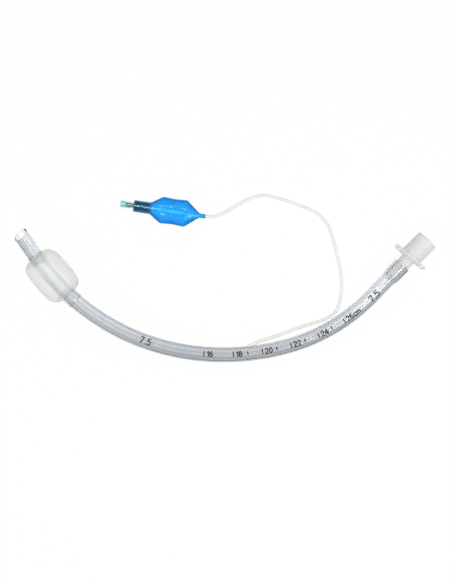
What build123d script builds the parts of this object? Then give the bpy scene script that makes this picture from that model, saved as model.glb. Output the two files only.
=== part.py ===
from build123d import *
import math
import os

# A cuffed endotracheal tube, size 7.5, lying on its side on a table. Millimetres, +Z up.
# The tube is drawn in a plane of its own, seen from above, and that plane is then laid on the table
# so that the cuff, the lowest stretch of the curve and the connector's flange all touch it.
# A "station" is a distance along the tube's centreline from its tip.

# Tube
tube_bore = 7.5
tube_wall = 1.35
tip_length = 22.4
first_bend_length = 120.6
first_bend_radius = 149.6
middle_bend_length = 69.9
middle_bend_radius = 162.8
last_bend_length = 72.7
last_bend_radius = 126.3
counter_bend_length = 10.0
counter_bend_radius = 257.6
end_length = 16.0
end_softening = 0.3
tip_x = -140.0
tip_y = 41.4
tip_heading = -55.9

# Patient end: the bevel faces up and its longest side lies below, with the side eye in that wall
bevel_length = 6.4
bevel_roll = 13.0
eye_station = 9.6
eye_length = 7.5
eye_width = 5.0
rim_radius = 0.4

# Inflation lumen in the wall on the inside of the curve
lumen_diameter = 0.8
port_station = 187.2
port_angle = 18.0
port_depth = 0.1
vent_diameter = 1.0

# Cuff
cuff_start = 21.2
cuff_length = 33.8
cuff_diameter = 26.3
cuff_film = 0.2
shoulder_diameter = 24.6
shoulder_inset = 7.2
collar_length = 6.4
collar_overlap = 1.0
collar_wall = 0.35

# Connector, sizes along its axis counted from the tube's end
spigot_length = 12.6
spigot_diameter = 9.2
spigot_lead = 5.0
spigot_tip_wall = 0.45
flare_length = 8.0
connector_bore = 6.9
neck_length = 6.1
neck_step = 1.5
neck_diameter = 9.7
neck_round = 2.4
flange_thickness = 2.5
flange_diameter = 18.4
flange_lean = 5.0
ear_span = 25.0
ear_width = 9.0
ear_bead = 3.0
cone_length = 15.3
cone_diameter = 15.5
cone_taper = 0.025
mouth_wall = 1.25
edge_break = 0.3

# Pilot balloon, sizes along its axis counted from the sleeve's open end
balloon_x = -62.8
balloon_y = 58.9
balloon_heading = -8.5
sleeve_length = 11.1
sleeve_wall = 0.6
balloon_wall = 0.45
balloon_shoulder = 7.9
balloon_width = 18.3
balloon_waist = 17.4
balloon_side = 16.6
balloon_thickness = 8.4
balloon_taper = 9.6
balloon_neck_length = 4.0
balloon_neck_wall = 0.4

# Check valve, sizes along the same axis
valve_body_diameter = 6.9
valve_body_length = 10.6
valve_reach = 9.2
hub_diameter = 6.1
hub_length = 3.9
hub_waist_diameter = 5.5
luer_mouth_diameter = 4.27
luer_taper = 0.06
luer_depth = 7.0
stem_diameter = 2.8
stem_clearance = 0.3
stem_reach = 3.3
seat_place = 1.0
chamber_diameter = 5.7
seal_thickness = 0.9
seal_diameter = 4.7
seal_groove_diameter = 2.0
plunger_flange = 0.6
plunger_flange_diameter = 4.2
tail_diameter = 1.5
tail_length = 3.4
retainer_thickness = 1.8
retainer_bore = 1.8
air_hole_diameter = 0.9
spring_wire = 0.35
spring_diameter = 3.2
spring_turns = 6

# Pilot line
line_diameter = 2.1

# The line's route after the port, on the table apart from its ends: x, y, height
line_route = [
    (30.0, -31.4, 4.3),
    (39.0, -28.5, 1.9),
    (52.6, -23.4, 1.1),
    (67.8, -19.2, 1.1),
    (75.9, -13.8, 1.1),
    (79.2, -3.5, 1.1),
    (79.6, 10.1, 1.1),
    (77.1, 21.8, 1.1),
    (73.5, 36.9, 1.1),
    (69.7, 47.6, 1.1),
    (61.2, 55.5, 1.1),
    (49.1, 60.1, 1.1),
    (34.4, 65.0, 1.1),
    (23.9, 67.0, 1.1),
    (12.7, 62.7, 1.1),
    (3.2, 56.9, 1.4),
    (-4.5, 52.5, 2.9),
]
line_exit_length = 8.5
line_entry_length = 6.8
line_insertion = 3.1

bore_radius = tube_bore / 2
tube_radius = bore_radius + tube_wall
lumen_offset = bore_radius + tube_wall / 2
spigot_radius = spigot_diameter / 2
line_radius = line_diameter / 2
runs = [
    (tip_length, None),
    (first_bend_length, first_bend_radius),
    (middle_bend_length, middle_bend_radius),
    (last_bend_length, last_bend_radius),
    (counter_bend_length, -counter_bend_radius),
]
tube_length = sum(length for length, radius in runs) + end_length
neck_start = sleeve_length + balloon_shoulder + balloon_side + balloon_taper
balloon_length = neck_start + balloon_neck_length


def station(distance, side=0.0):
    """The point at a station, side millimetres towards the inside of the curve, and the heading there."""
    x, y, heading = tip_x, tip_y, math.radians(tip_heading)
    left = distance
    for length, radius in runs:
        step = min(left, length)
        left -= step
        if radius:
            turn = step / radius
            x += radius * (math.sin(heading + turn) - math.sin(heading))
            y += radius * (math.cos(heading) - math.cos(heading + turn))
            heading += turn
        else:
            x += step * math.cos(heading)
            y += step * math.sin(heading)
    x += left * math.cos(heading) - side * math.sin(heading)
    y += left * math.sin(heading) + side * math.cos(heading)
    return x, y, heading


def across(distance, side=0.0):
    """The plane across the tube at a station: X towards the inside of the curve, Y up, Z away from the tip."""
    x, y, heading = station(distance, side)
    return Plane(
        origin=(x, y, 0),
        x_dir=(-math.sin(heading), math.cos(heading), 0),
        z_dir=(math.cos(heading), math.sin(heading), 0),
    )


def rod(radius, start, stop, side=0.0):
    """A round bar that follows the tube from one station to another, of straight and curved lengths."""
    pieces = []
    at = 0.0
    for length, bend in [*runs, (2 * end_length, None)]:
        low = max(start, at) if pieces or at else start
        high = min(stop, at + length)
        at += length
        if high <= low:
            continue
        face = across(low, side) * Circle(radius)
        if bend:
            centre = Axis(across(low, bend).origin, (0, 0, 1))
            pieces.append(revolve(face, centre, math.degrees((high - low) / bend)))
        else:
            pieces.append(extrude(face, high - low))
    return sum(pieces[1:], start=pieces[0])


def turned(points, rounds=()):
    """A solid of revolution about Z from an outline of (radius, height) points, some corners rounded."""
    face = make_face(Polyline(*points, close=True))
    for corner, radius in rounds:
        near = face.vertices().sort_by_distance(Vector(*corner))[0]
        face = fillet(near, radius)
    return revolve(Plane.XZ * face, Axis.Z)


def spigot_outline():
    """The connector's outside from the spigot's inner end to where the tube ends: (radius, height)."""
    tip_radius = connector_bore / 2 + spigot_tip_wall
    return [
        (tip_radius, -spigot_length),
        (spigot_radius, spigot_lead - spigot_length),
        (spigot_radius, 0),
    ]


def machine_end():
    """The tube's last stretch, widened by the spigot that it is pushed onto, and the station where it starts."""
    full = spigot_lead - spigot_length
    start = full - flare_length
    inside = Spline((bore_radius, start), (spigot_radius, full), tangents=[(0, 1), (0, 1)])
    outside = Spline((tube_radius, start), (spigot_radius + tube_wall, full), tangents=[(0, 1), (0, 1)])
    end = Polyline(inside @ 1, (spigot_radius, 0), (spigot_radius + tube_wall, 0), outside @ 1)
    face = make_face(inside + end + outside + Line(outside @ 0, inside @ 0))
    corners = face.vertices().filter_by(lambda v: abs(v.Y) < 0.001)
    face = fillet(corners, end_softening)
    return across(tube_length) * revolve(Plane.XZ * face, Axis.Z), tube_length + start


def bevel_cutter():
    """A block that takes the tip away above the bevel."""
    slope = bevel_length / (2 * tube_radius)
    roll = math.radians(bevel_roll)
    tip = across(bevel_length / 2)
    outward = tip.x_dir * (-slope * math.sin(roll)) + tip.y_dir * (slope * math.cos(roll)) - tip.z_dir
    face = Plane(origin=tip.origin, z_dir=outward)
    return extrude(face * Rectangle(8 * tube_radius, 8 * tube_radius), 4 * tube_radius + bevel_length)


def side_eye():
    """The oval hole through the wall opposite the bevel."""
    middle = across(eye_station)
    roll = math.radians(bevel_roll)
    down = middle.x_dir * math.sin(roll) - middle.y_dir * math.cos(roll)
    face = Plane(origin=middle.origin, x_dir=middle.z_dir, z_dir=down)
    return extrude(face * SlotOverall(eye_length, eye_width), 2 * tube_radius)


def port_start():
    """Where the pilot line's end sits in its notch, and the direction in which the line leaves it."""
    flat = across(port_station)
    lean = math.radians(port_angle)
    leaving = flat.z_dir * math.cos(lean) + flat.x_dir * math.sin(lean)
    seat = lumen_offset - lumen_diameter / 2 - port_depth + line_radius * math.cos(lean)
    return flat.origin + flat.x_dir * seat, leaving


def port_notch():
    """The scooped seat for the pilot line, which opens the inflation lumen."""
    origin, leaving = port_start()
    return extrude(Plane(origin=origin, z_dir=leaving) * Circle(line_radius), 12 * line_diameter)


def tube():
    """The tube with its two lumens, bevelled tip, side eye, cuff vent, pilot line's notch and widened end."""
    end, end_start = machine_end()
    body = rod(tube_radius, 0, end_start) - rod(bore_radius, -1, end_start + 1)
    body = body + end
    body = body - bevel_cutter()
    rims = [e for e in body.edges() if Vector(*across(0).origin).sub(e.center()).length < 2 * tube_radius]
    rims = [e for e in rims if e.geom_type == GeomType.ELLIPSE]
    body = fillet(rims, rim_radius)
    body = body - side_eye()
    vent_station = cuff_start + cuff_length / 2
    lumen_end = port_station + line_radius * math.sin(math.radians(port_angle)) + port_depth / 2
    body = body - rod(lumen_diameter / 2, vent_station - vent_diameter, lumen_end, lumen_offset)
    vent = across(vent_station, lumen_offset)
    outward = Plane(origin=vent.origin, z_dir=vent.x_dir)
    body = body - extrude(outward * Circle(vent_diameter / 2), tube_wall)
    return body - port_notch()


def cuff_outline(inset):
    """The cuff's half outline along its axis, inset from the outside: (radius, height)."""
    half = cuff_length / 2 - inset
    neck = tube_radius + collar_wall / 2 - inset
    shoulder = shoulder_diameter / 2 - inset
    crown = cuff_diameter / 2 - inset
    knee = half - 0.26 * shoulder_inset
    knee_radius = neck + 0.62 * (shoulder - neck)
    low = Spline(
        (neck, -half),
        (knee_radius, -knee),
        (shoulder, shoulder_inset - half),
        (crown, 0),
        tangents=[(1, 0.22), (0, 1)],
    )
    high = Spline(
        (crown, 0),
        (shoulder, half - shoulder_inset),
        (knee_radius, knee),
        (neck, half),
        tangents=[(0, 1), (-1, 0.22)],
    )
    return make_face(low + high + Polyline((neck, half), (0, half), (0, -half), (neck, -half)))


def cuff():
    """The cuff: a barrel of film on a straight axis between two bonded collars, the tip's one turned inside."""
    low = across(cuff_start).origin
    high = across(cuff_start + cuff_length).origin
    axis = Plane(origin=(low + high) / 2, z_dir=high - low)
    outside = axis * revolve(Plane.XZ * cuff_outline(0.0), Axis.Z)
    inside = axis * revolve(Plane.XZ * cuff_outline(cuff_film), Axis.Z)
    end = cuff_start + cuff_length
    collar = tube_radius + collar_wall
    collars = rod(collar, cuff_start - collar_overlap, cuff_start + collar_length)
    collars = collars + rod(collar, end - collar_overlap, end + collar_length)
    first = cuff_start - 2 * collar_length
    return (outside - inside) + collars - rod(tube_radius, first, end + 2 * collar_length)


def flange():
    """The leaning flange: a disc with two ears, each of which ends in a rounded bead."""
    disc = extrude(Circle(flange_diameter / 2), flange_thickness / 2, both=True)
    disc = fillet(disc.edges(), flange_thickness / 5)
    plate = extrude(SlotOverall(ear_span, ear_width), flange_thickness / 2, both=True)
    plate = chamfer(plate.edges().group_by(Axis.Z)[0] + plate.edges().group_by(Axis.Z)[-1], edge_break)
    bead = extrude(Plane.XZ * Circle(ear_bead / 2), ear_width / 4, both=True)
    bead = fillet(bead.edges(), edge_break)
    place = (ear_span - ear_bead) / 2
    beads = [Location((side * place, 0, 0)) * bead for side in (-1, 1)]
    return Rot(0, flange_lean, 0) * (disc + plate + beads)


def connector():
    """The one-piece connector: spigot, flange with ears, and the 15 mm cone, bored right through."""
    bore = connector_bore / 2
    neck = neck_diameter / 2
    middle = neck_length + flange_thickness / 2
    face = neck_length + flange_thickness
    mouth = face + cone_length
    base = cone_diameter / 2
    lip = base - cone_taper / 2 * cone_length
    inner_lip = lip - mouth_wall
    outline = spigot_outline() + [
        (spigot_radius, edge_break),
        (neck, neck_step),
        (neck, middle),
        (base, middle),
        (base, face),
        (lip, mouth - edge_break),
        (lip - edge_break, mouth),
        (inner_lip + edge_break, mouth),
        (inner_lip, mouth - edge_break),
        (inner_lip, face + flange_thickness),
        (bore, neck_length),
        (bore, -spigot_length),
    ]
    rounds = [((neck, middle), neck_round), ((inner_lip, face + flange_thickness), 2 * neck_round)]
    inside = turned([(0, 0), (bore, 0), (bore, neck_length), (inner_lip, face + flange_thickness), (0, mouth)])
    body = turned(outline, rounds) + (Location((0, 0, middle)) * flange() - inside)
    return across(tube_length) * body


def lens(width, thickness):
    """A closed outline of two arcs that meet in a crease at each side."""
    upper = ThreePointArc((-width / 2, 0), (0, thickness / 2), (width / 2, 0))
    lower = ThreePointArc((width / 2, 0), (0, -thickness / 2), (-width / 2, 0))
    return make_face(upper + lower)


def balloon_form(inset, bore):
    """The balloon's form from the sleeve to the neck, inset from its outside."""
    sleeve = 2 * (valve_body_diameter / 2 + sleeve_wall - inset)
    first = sleeve_length + balloon_shoulder
    waist = first + balloon_side / 2
    last = first + balloon_side
    rows = [
        (sleeve_length, sleeve, sleeve),
        (first, balloon_width - 2 * inset, 0.9 * balloon_thickness - 2 * inset),
        (waist, balloon_waist - 2 * inset, balloon_thickness - 2 * inset),
        (last, balloon_width - 2 * inset, 0.9 * balloon_thickness - 2 * inset),
        (neck_start, bore, bore),
    ]
    return loft([Location((0, 0, place)) * lens(width, thick) for place, width, thick in rows], ruled=True)


def pilot_balloon():
    """The flattened pilot balloon, with its sleeve over the valve and its neck over the line."""
    neck = line_diameter + 2 * balloon_neck_wall
    sleeve = valve_body_diameter / 2 + sleeve_wall
    outside = extrude(Circle(sleeve), sleeve_length) + balloon_form(0.0, neck)
    outside = outside + Location((0, 0, neck_start)) * extrude(Circle(neck / 2), balloon_neck_length)
    inside = extrude(Circle(valve_body_diameter / 2), sleeve_length)
    inside = inside + balloon_form(balloon_wall, line_diameter)
    inside = inside + Location((0, 0, neck_start)) * extrude(Circle(line_radius), balloon_neck_length)
    return outside - inside


def valve_housing():
    """The valve's housing: a tapered syringe socket, the stem's guide, and the spring chamber behind it."""
    mouth = luer_mouth_diameter / 2
    bottom = mouth - luer_taper / 2 * luer_depth
    guide = stem_diameter / 2 + stem_clearance
    hub = hub_diameter / 2
    waist = hub_waist_diameter / 2
    body = valve_body_diameter / 2
    chamber = chamber_diameter / 2
    outline = [
        (mouth, -valve_reach),
        (hub, -valve_reach),
        (hub, hub_length - valve_reach),
        (waist, hub_length - valve_reach + edge_break),
        (waist, 0),
        (body, 0),
        (body, valve_body_length),
        (chamber, valve_body_length),
        (chamber, seat_place),
        (guide, seat_place),
        (guide, luer_depth - valve_reach),
        (bottom, luer_depth - valve_reach),
    ]
    return turned(outline)


def valve_plunger():
    """The stem that a syringe pushes in, with the seal's groove, the spring's flange and the tail."""
    stem = stem_diameter / 2
    groove = seal_groove_diameter / 2
    flange = plunger_flange_diameter / 2
    tail = tail_diameter / 2
    start = luer_depth - valve_reach - stem_reach
    seal_end = seat_place + seal_thickness
    flange_end = seal_end + plunger_flange
    outline = [
        (0, start),
        (stem - edge_break, start),
        (stem, start + edge_break),
        (stem, seat_place),
        (groove, seat_place),
        (groove, seal_end),
        (flange, seal_end),
        (flange, flange_end),
        (tail, flange_end),
        (tail, flange_end + tail_length - edge_break),
        (tail - edge_break, flange_end + tail_length),
        (0, flange_end + tail_length),
    ]
    return turned(outline)


def valve_seal():
    """The rubber washer in the plunger's groove, which closes against the housing's seat."""
    inner = seal_groove_diameter / 2
    outer = seal_diameter / 2
    seal_end = seat_place + seal_thickness
    outline = [(inner, seat_place), (outer, seat_place), (outer, seal_end), (inner, seal_end)]
    return turned(outline)


def valve_retainer():
    """The disc that closes the chamber and carries the spring, with its middle hole and three air holes."""
    disc = extrude(Circle(chamber_diameter / 2), retainer_thickness)
    place = (chamber_diameter + retainer_bore) / 4 + edge_break / 2
    holes = extrude(Circle(retainer_bore / 2), retainer_thickness)
    for turn in range(3):
        hole = Location((place, 0, 0)) * extrude(Circle(air_hole_diameter / 2), retainer_thickness)
        holes = holes + Rot(0, 0, 120 * turn) * hole
    return Location((0, 0, valve_body_length - retainer_thickness)) * (disc - holes)


def valve_spring():
    """The coil spring between the plunger's flange and the retainer."""
    start = seat_place + seal_thickness + plunger_flange + spring_wire / 2
    stop = valve_body_length - retainer_thickness - spring_wire / 2
    radius = (spring_diameter - spring_wire) / 2
    height = stop - start
    coil = Helix(pitch=height / spring_turns, height=height, radius=radius)
    wire = Plane(origin=coil @ 0, z_dir=coil % 0) * Circle(spring_wire / 2)
    return Location((0, 0, start)) * sweep(wire, coil, is_frenet=True)


def table_plane(cuff_reach, tube_reach, flange_reach):
    """The tube's plane on the table, from how far the cuff, the tube's belly and the flange reach below it."""
    cuff_x, cuff_y, heading = station(cuff_start + cuff_length / 2)
    flange_x, flange_y, heading = station(tube_length + neck_length + flange_thickness / 2)
    belly = tube_length / 2
    for attempt in range(4):
        belly_x, belly_y, heading = station(belly)
        # Two equations for the slopes along X and Y, from the rises above the belly
        ax, ay, rise_a = cuff_x - belly_x, cuff_y - belly_y, cuff_reach - tube_reach
        bx, by, rise_b = flange_x - belly_x, flange_y - belly_y, flange_reach - tube_reach
        area = ax * by - ay * bx
        slope_x = (rise_a * by - ay * rise_b) / area
        slope_y = (ax * rise_b - rise_a * bx) / area
        heights = {}
        for place in range(int(tip_length), int(tube_length - end_length)):
            x, y, heading = station(place)
            heights[place] = slope_x * x + slope_y * y
        belly = min(heights, key=heights.get)
    level = tube_reach - slope_x * belly_x - slope_y * belly_y
    return Plane(origin=(0, 0, level), x_dir=(1, 0, slope_x), z_dir=(-slope_x, -slope_y, 1))


def settled(pieces):
    """The tube's plane once the cuff, the belly and the flange all just touch the table."""
    reach = [cuff_diameter / 2, tube_radius, flange_diameter / 2]
    for attempt in range(3):
        bed = table_plane(*reach)
        lows = [(bed * piece).bounding_box().min.Z for piece in pieces]
        reach = [old - low for old, low in zip(reach, lows)]
    return table_plane(*reach)


def balloon_plane():
    """The balloon's axis on the table: X across it, Y up and Z towards the line."""
    heading = math.radians(balloon_heading)
    lift = max(balloon_thickness, valve_body_diameter + 2 * sleeve_wall) / 2
    return Plane(
        origin=(balloon_x, balloon_y, lift),
        x_dir=(-math.sin(heading), math.cos(heading), 0),
        z_dir=(math.cos(heading), math.sin(heading), 0),
    )


def line_points(bed, pilot):
    """The pilot line's route from the notch in the tube to the balloon's neck."""
    origin, leaving = port_start()
    start = bed.from_local_coords(origin)
    first = bed.from_local_coords(origin + leaving * line_exit_length)
    neck_end = balloon_length
    last = pilot.from_local_coords(Vector(0, 0, neck_end + line_entry_length - line_insertion))
    end = pilot.from_local_coords(Vector(0, 0, neck_end - line_insertion))
    return [start, first, *[Vector(*point) for point in line_route], last, end]


def corner_radii(points):
    """For each corner of the route, the largest radius that its two runs allow."""
    radii = []
    for before, corner, after in zip(points, points[1:], points[2:]):
        arriving = corner - before
        leaving = after - corner
        turn = math.radians(arriving.get_angle(leaving))
        radii.append(0.45 * min(arriving.length, leaving.length) / math.tan(turn / 2))
    return radii


def pilot_line(bed, pilot):
    """The pilot line: a plain round cord along straight runs and tangent arcs."""
    points = line_points(bed, pilot)
    radii = corner_radii(points)
    path = FilletPolyline(*points, radius=radii)
    body = sweep(Plane(origin=path @ 0, z_dir=path % 0) * Circle(line_radius), path)
    print("line radii", [round(radius, 1) for radius in radii])
    print("line length", round(path.length, 1))
    print("line volume over section times length", round(body.volume / (math.pi * line_radius**2 * path.length), 4))
    return body


def main():
    """Makes every piece, lays them on the table about one origin and writes them out."""
    os.makedirs("parts", exist_ok=True)
    flat = {"tube": tube(), "cuff": cuff(), "connector": connector()}
    bed = settled([flat["cuff"], flat["tube"], flat["connector"]])
    pilot = balloon_plane()
    on_axis = {
        "pilot_balloon": pilot_balloon(),
        "valve_housing": valve_housing(),
        "valve_plunger": valve_plunger(),
        "valve_seal": valve_seal(),
        "valve_retainer": valve_retainer(),
        "valve_spring": valve_spring(),
    }
    pieces = {name: bed * piece for name, piece in flat.items()}
    pieces |= {name: pilot * piece for name, piece in on_axis.items()}
    boxes = [piece.bounding_box() for piece in pieces.values()]
    middle_x = (min(box.min.X for box in boxes) + max(box.max.X for box in boxes)) / 2
    middle_y = (min(box.min.Y for box in boxes) + max(box.max.Y for box in boxes)) / 2
    shift = Location((-middle_x, -middle_y, -min(box.min.Z for box in boxes)))
    pieces["pilot_line"] = pilot_line(bed, pilot)
    for name, piece in pieces.items():
        box = (shift * piece).bounding_box()
        print(name, "volume", round(piece.volume, 1), "from", box.min, "to", box.max)
        export_step(shift * piece, f"parts/{name}.step")
    print("origin shift", shift.position)
    mouth = tube_length + neck_length + flange_thickness + cone_length
    places = {
        "tip bore": bed.location * across(tip_length / 2).location,
        "tube end": bed.location * across(tube_length).location,
        "connector mouth": bed.location * across(mouth).location,
        "balloon axis": pilot.location,
    }
    for name, place in places.items():
        plane = Plane(shift * place)
        print(name, plane.origin, plane.z_dir)
    for point in line_points(bed, pilot):
        print("line route", point + shift.position)


main()
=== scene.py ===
import math

import bmesh
import bpy
import numpy as np
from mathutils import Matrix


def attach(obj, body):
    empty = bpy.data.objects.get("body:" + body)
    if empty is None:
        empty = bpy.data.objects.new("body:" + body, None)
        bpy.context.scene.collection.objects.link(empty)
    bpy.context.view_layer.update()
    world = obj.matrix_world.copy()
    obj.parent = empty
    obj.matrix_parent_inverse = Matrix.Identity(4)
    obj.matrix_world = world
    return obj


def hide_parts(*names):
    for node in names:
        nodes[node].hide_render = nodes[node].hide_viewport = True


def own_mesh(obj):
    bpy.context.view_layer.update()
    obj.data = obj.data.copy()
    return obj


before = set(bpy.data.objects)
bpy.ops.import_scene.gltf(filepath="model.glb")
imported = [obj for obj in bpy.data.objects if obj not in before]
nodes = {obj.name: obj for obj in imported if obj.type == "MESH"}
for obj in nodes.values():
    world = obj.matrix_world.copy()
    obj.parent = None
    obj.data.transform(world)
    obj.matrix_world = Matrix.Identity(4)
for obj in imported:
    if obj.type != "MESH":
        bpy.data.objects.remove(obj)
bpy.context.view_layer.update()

scene = bpy.context.scene

# A cuffed breathing tube on a white table. Metres, with the table at z = 0.
# A station is a distance along the tube's centreline from its tip. Side is the distance from the
# centreline towards the inside of the curve, and up the distance away from the table.

# The tube's own plane: a point of it and its directions
BED_SPOT = np.array([0.000229, -0.008592, 0.009728])
BED_X = np.array([0.999743, 0.0, -0.022682])
BED_Z = np.array([0.022572, -0.098445, 0.994886])
BED_Y = np.cross(BED_Z, BED_X)

# Centreline: where the tip lies in that plane, and the runs that follow it (length, radius or None)
TIP_X = -0.1400
TIP_Y = 0.0414
TIP_HEADING = math.radians(-55.9)
RUNS = [(0.0224, None), (0.1206, 0.1496), (0.0699, 0.1628), (0.0727, 0.1263), (0.0100, -0.2576)]
TUBE_LENGTH = 0.3116

BORE = 0.00375
WALL = 0.00135
OUTSIDE = BORE + WALL
BEVEL_LENGTH = 0.0064
BEVEL_ROLL = math.radians(13)
RIM_ROUND = 0.0005
EYE_STATION = 0.0096
EYE_LENGTH = 0.0075
EYE_WIDTH = 0.0050
FLARE_START = 0.2960
FLARE_LENGTH = 0.0080
FLARE_RISE = 0.00085
LIP_ROUND = 0.0003
# How far the bevel's slant reaches back along the tube, and where the bore eases round the spigot
SLANT_REACH = 0.030
SEAT_START = FLARE_START + 0.0028
SEAT_FADE = 0.0004
SEAT_EASE = 0.0001
LUMEN_RADIUS = 0.0004
LUMEN_SIDE = BORE + WALL / 2
VENT_STATION = 0.0381
PORT_STATION = 0.1872
PORT_ANGLE = math.radians(18)
PORT_DEPTH = 0.0001
PORT_SLACK = 1.02
LUMEN_START = VENT_STATION - 0.001
LUMEN_END = PORT_STATION - 0.0003

CUFF_START = 0.0212
CUFF_LENGTH = 0.0338
CUFF_RADIUS = 0.01315
SHOULDER_RADIUS = 0.0123
SHOULDER_INSET = 0.0072
SHOULDER_POWER = 2.3
COLLAR_LENGTH = 0.0064
COLLAR_WALL = 0.00035
COLLAR_OVERLAP = 0.0001
FILM = 0.00014
GATHER_DEPTH = 0.00002

# Balloon and valve axis: where the sleeve's open end meets it, and its direction towards the line
BALLOON_SPOT = np.array([-0.062571, 0.050308, 0.0042])
BALLOON_ALONG = np.array([0.989016, -0.147809, 0.0])
BALLOON_ACROSS = np.array([0.147809, 0.989016, 0.0])
SLEEVE_LENGTH = 0.0111
NECK_START = 0.0452
BALLOON_LENGTH = 0.0492
FILM_WALL = 0.00045
LINE_HOLE = 0.00106
VALVE_HOLE = 0.00346
# Where the sleeve's and the neck's round holes end, and the stretch with close rows
SLEEVE_SEAT = 0.0106
NECK_SEAT = 0.0450
BODY_START = 0.0104
BODY_STOP = 0.0458

# The balloon's outline: the distance along it, half width and half thickness
BALLOON_OUTLINE = np.array([
    (0.0, 0.00405, 0.00405),
    (SLEEVE_LENGTH, 0.00405, 0.00405),
    (0.0190, 0.00915, 0.00378),
    (0.0273, 0.0087, 0.0042),
    (0.0356, 0.00915, 0.00378),
    (NECK_START, 0.00145, 0.00145),
    (BALLOON_LENGTH, 0.00145, 0.00145),
])
# Its folds: start and stop as (along, across), rise and breadth
BALLOON_FOLDS = [
    ((0.0105, 0.0003), (0.0440, -0.0002), 0.00042, 0.0014),
    ((0.0130, 0.0018), (0.0265, 0.0044), 0.00050, 0.0010),
    ((0.0130, -0.0018), (0.0230, -0.0046), 0.00035, 0.0012),
    ((0.0420, 0.0009), (0.0330, 0.0036), 0.00032, 0.0011),
    ((0.0420, -0.0011), (0.0350, -0.0046), 0.00032, 0.0011),
]
# The hollows beside its long fold: across and breadth, and how deep they are
BALLOON_HOLLOWS = [(0.0022, 0.0012), (-0.0025, 0.0014)]
HOLLOW_DEPTH = 0.0003

# The valve's housing, along the same axis
VALVE_REACH = 0.0092
VALVE_BODY_LENGTH = 0.0106
VALVE_BODY_RADIUS = 0.00343
HUB_RADIUS = 0.00305
WAIST_RADIUS = 0.00275
WAIST_START = -0.0050
CHAMBER_RADIUS = 0.00287
SEAT_PLACE = 0.0010
GUIDE_RADIUS = 0.0017
SOCKET_END = -0.0022

# The valve's coil: its wire, the radius of its centreline, and where it stands between the plunger's
# flange and the retainer at rest
COIL_START = 0.0025
COIL_STOP = 0.0088
COIL_RADIUS = 0.001425
COIL_TURNS = 6
WIRE_RADIUS = 0.000175

# The pilot line's route, the same points as the part's source gives
LINE_RADIUS = 0.00105
LINE_ROUTE = [
    (0.014882, -0.045733, 0.005721),
    (0.022662, -0.042313, 0.005883),
    (0.030229, -0.039992, 0.004300),
    (0.039229, -0.037092, 0.001900),
    (0.052829, -0.031992, 0.001100),
    (0.068029, -0.027792, 0.001100),
    (0.076129, -0.022392, 0.001100),
    (0.079429, -0.012092, 0.001100),
    (0.079829, 0.001508, 0.001100),
    (0.077329, 0.013208, 0.001100),
    (0.073729, 0.028308, 0.001100),
    (0.069929, 0.039008, 0.001100),
    (0.061429, 0.046908, 0.001100),
    (0.049329, 0.051508, 0.001100),
    (0.034629, 0.056408, 0.001100),
    (0.024129, 0.058408, 0.001100),
    (0.012929, 0.054108, 0.001100),
    (0.003429, 0.048308, 0.001400),
    (-0.004271, 0.043908, 0.002900),
    (-0.010252, 0.042489, 0.004200),
    (-0.016977, 0.043494, 0.004200),
]

# The printed scale: ink and figures, and how far a tick stands before its number's station
INK_BREADTH = 0.00072
INK_LIFT = 0.00003
TICK_SHIFT = 0.0031
LONG_TICK = 0.0034
SHORT_TICK = 0.0019
FIGURE_HEIGHT = 0.0039
SIZE_HEIGHT = 0.0048

# The table's share of plain white, the height of the camera and the lamps, and the room's light
TABLE_WHITE = 0.93
OVERHEAD = 0.700
ROOM_LOW = 0.30
ROOM_HIGH = 0.82


def make_camera():
    """The camera, straight above the middle of the picture."""
    data = bpy.data.cameras.new("camera")
    data.lens = 62.74
    data.sensor_width = 36.0
    data.clip_end = 10.0
    camera = bpy.data.objects.new("camera", data)
    scene.collection.objects.link(camera)
    camera.location = (BED_SPOT[0], BED_SPOT[1], OVERHEAD)
    scene.camera = camera


def centreline(stations):
    """Places and headings along the tube: each run adds as much of itself as lies before the station,
    a straight run along the heading, an arc of radius r turning it by length / r. A station before
    the tip carries the first run on backwards, and one past the end carries on straight."""
    stations = np.asarray(stations, float)
    x = np.full(stations.shape, TIP_X)
    y = np.full(stations.shape, TIP_Y)
    heading = np.full(stations.shape, TIP_HEADING)
    left = stations.copy()
    for number, (length, radius) in enumerate([*RUNS, (1.0, None)]):
        step = np.where(left > 0, np.minimum(left, length), left if number == 0 else 0.0)
        left = left - step
        if radius is None:
            x = x + step * np.cos(heading)
            y = y + step * np.sin(heading)
        else:
            turn = step / radius
            x = x + radius * (np.sin(heading + turn) - np.sin(heading))
            y = y + radius * (np.cos(heading) - np.cos(heading + turn))
            heading = heading + turn
    return x, y, heading


def on_tube(stations, side, up):
    """Points at stations of the tube, side and up from its centreline: the plane's spot plus x, y and up
    times the plane's directions."""
    x, y, heading = centreline(stations)
    x = x - side * np.sin(heading)
    y = y + side * np.cos(heading)
    return BED_SPOT + x[..., None] * BED_X + y[..., None] * BED_Y + (up + 0 * x)[..., None] * BED_Z


def on_balloon(along, across, up):
    """Points of the balloon's and valve's own frame: along the axis, across it and up."""
    across = across + 0 * along
    up = up + 0 * along
    rise = np.array([0.0, 0.0, 1.0])
    return (BALLOON_SPOT + along[..., None] * BALLOON_ALONG + across[..., None] * BALLOON_ACROSS
            + up[..., None] * rise)


def smooth(t):
    """A soft step from 0 to 1: 3 t^2 - 2 t^3 of t held between 0 and 1."""
    t = np.clip(t, 0.0, 1.0)
    return t * t * (3 - 2 * t)


def full_turn(count):
    """Even angles once round."""
    return np.linspace(0, 2 * math.pi, count, endpoint=False)


def mapped(along, around):
    """A map with a place along and an angle round the piece, as a share of a turn."""
    return np.stack(np.broadcast_arrays(along, around / (2 * math.pi)), axis=-1)


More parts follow.
